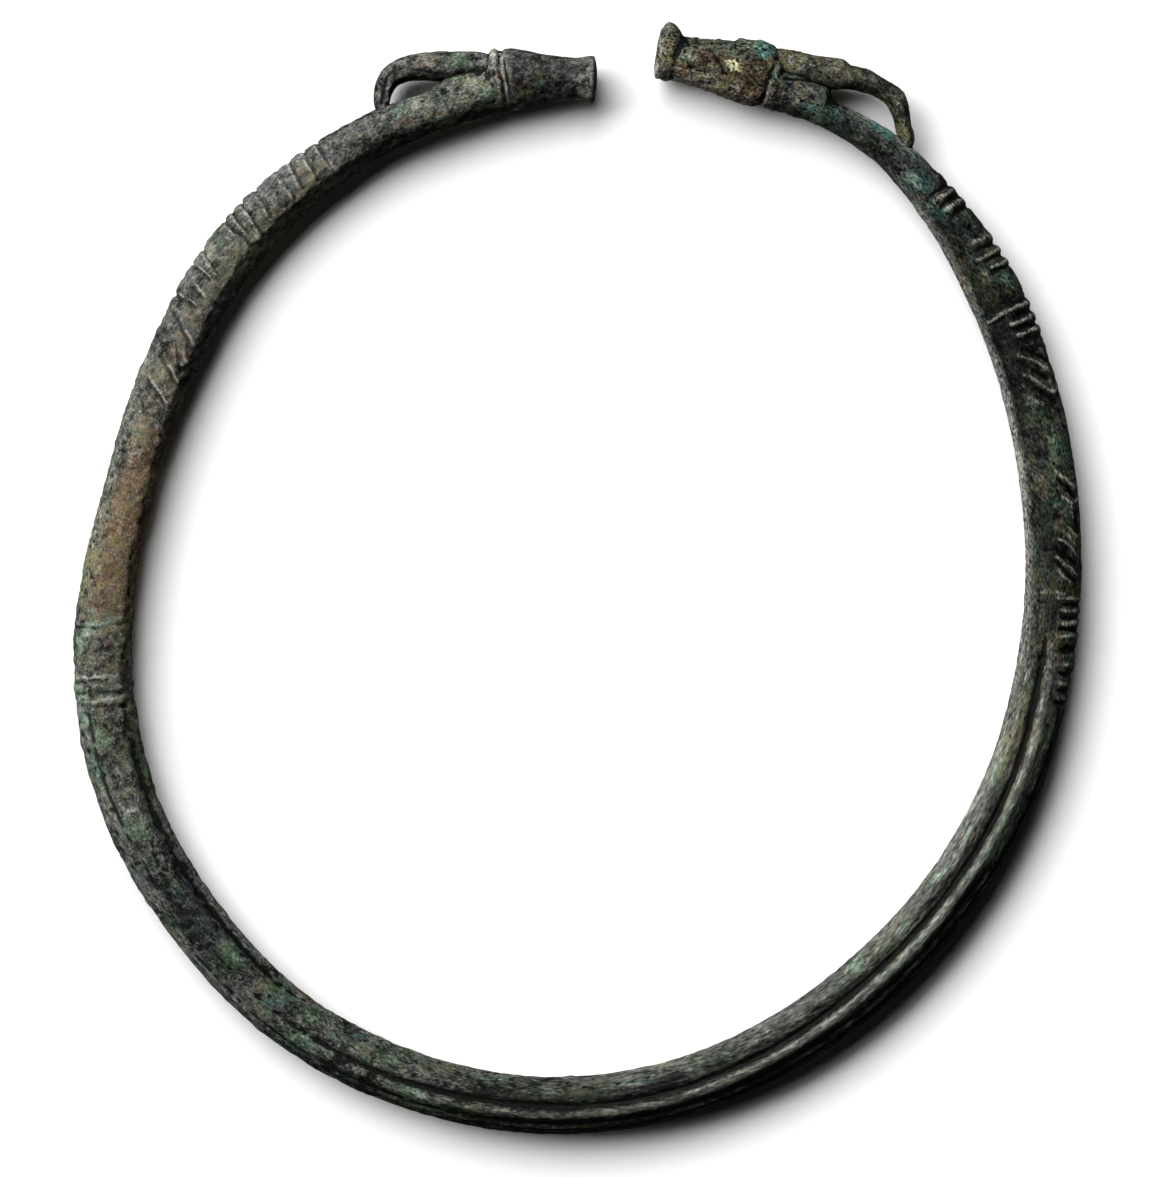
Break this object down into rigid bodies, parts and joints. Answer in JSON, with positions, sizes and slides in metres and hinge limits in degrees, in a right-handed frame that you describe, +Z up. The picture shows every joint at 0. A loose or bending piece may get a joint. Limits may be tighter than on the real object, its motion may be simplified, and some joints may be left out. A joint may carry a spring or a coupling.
{
  "type": "animal-head bracelet",
  "caption": "Open cast-bronze bracelet, part ribbed and part fluted, whose ends are horned animal heads with flared muzzles that face each other across a narrow gap.",
  "frame": {"origin": "centre of the bracelet's outline, at the surface it lies on", "axes": "+Y from the middle of the hoop towards the gap between the heads, +Z up out of the plane of the hoop, +X to the right of the gap"},
  "size_m": [0.0806, 0.0888, 0.0048],
  "materials": {
    "bronze": "dark excavated bronze, semi-matt, mottled with green, brown and grey patina"
  },
  "bodies": {
    "root": {"bracelet": "bronze"}
  },
  "joints": []
}
